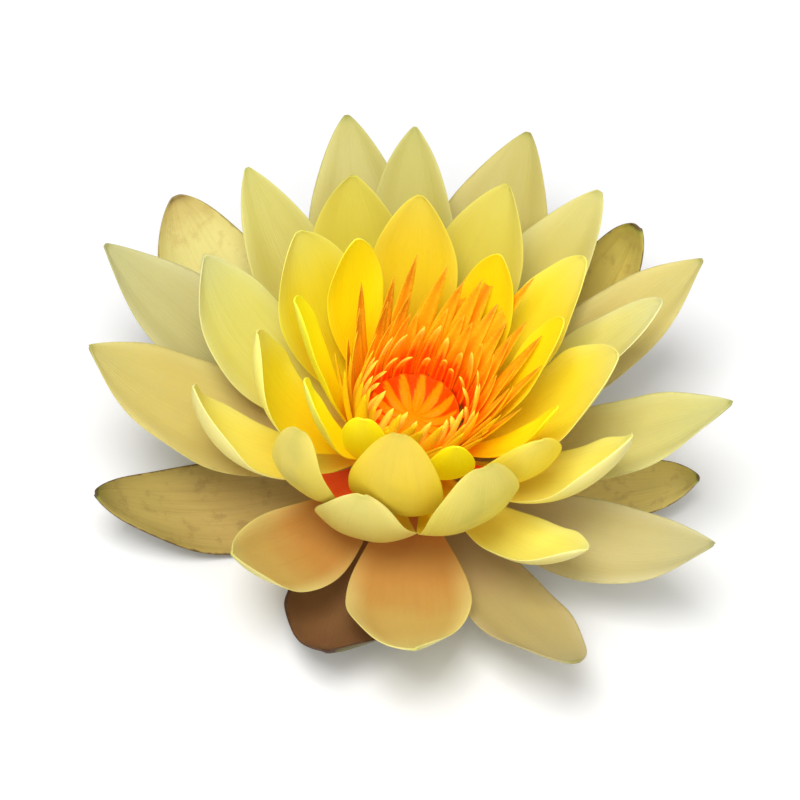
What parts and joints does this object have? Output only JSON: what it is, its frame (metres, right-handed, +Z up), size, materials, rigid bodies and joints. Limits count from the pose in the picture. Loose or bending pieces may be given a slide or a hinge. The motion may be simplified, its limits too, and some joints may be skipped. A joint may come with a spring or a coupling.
{
  "type": "water lily flower",
  "caption": "Open water lily flower head with pointed sepals, rings of cupped petals, a crown of stamens and a hollow rayed disc, cut flush below.",
  "frame": {"origin": "on the surface that the flower rests on, under the middle of its outline", "axes": "+Z up along the flower's axis, -Y towards the side with the short upright petals"},
  "size_m": [0.1387, 0.1439, 0.061],
  "materials": {
    "sepal": "matte olive brown, mottled, with darker torn edges",
    "outer_petal": "soft waxy cream with a tan base and a thin greenish rim",
    "second_petal": "soft waxy pale yellow with an orange base",
    "third_petal": "soft waxy light yellow, orange towards the base",
    "fourth_petal": "soft waxy yellow, orange towards the base",
    "inner_petal": "soft waxy strong yellow, orange towards the base",
    "small_petal": "soft waxy bright yellow",
    "stamen": "soft matte orange with golden tips and a red base",
    "pistil": "soft moist orange with red furrows on the disc"
  },
  "bodies": {
    "root": {"sepal_1": "sepal", "sepal_2": "sepal", "sepal_3": "sepal", "sepal_4": "sepal", "sepal_5": "sepal", "outer_petal_1": "outer_petal", "outer_petal_2": "outer_petal", "outer_petal_3": "outer_petal", "outer_petal_4": "outer_petal", "outer_petal_5": "outer_petal", "outer_petal_6": "outer_petal", "outer_petal_7": "outer_petal", "outer_petal_8": "outer_petal", "second_petal_1": "second_petal", "second_petal_2": "second_petal", "second_petal_3": "second_petal", "second_petal_4": "second_petal", "second_petal_5": "second_petal", "third_petal_1": "third_petal", "third_petal_2": "third_petal", "third_petal_3": "third_petal", "third_petal_4": "third_petal", "third_petal_5": "third_petal", "third_petal_6": "third_petal", "third_petal_7": "third_petal", "third_petal_8": "third_petal", "fourth_petal_1": "fourth_petal", "fourth_petal_2": "fourth_petal", "fourth_petal_3": "fourth_petal", "fourth_petal_4": "fourth_petal", "fourth_petal_5": "fourth_petal", "fourth_petal_6": "fourth_petal", "fourth_petal_7": "fourth_petal", "inner_petal_1": "inner_petal", "inner_petal_2": "inner_petal", "inner_petal_3": "inner_petal", "inner_petal_4": "inner_petal", "inner_petal_5": "inner_petal", "inner_petal_6": "inner_petal", "inner_petal_7": "inner_petal", "small_petal_1": "small_petal", "small_petal_2": "small_petal", "small_petal_3": "small_petal", "stamens_1": "stamen", "stamens_2": "stamen", "stamens_3": "stamen", "stamens_4": "stamen", "stamens_5": "stamen", "pistil": "pistil"}
  },
  "joints": []
}
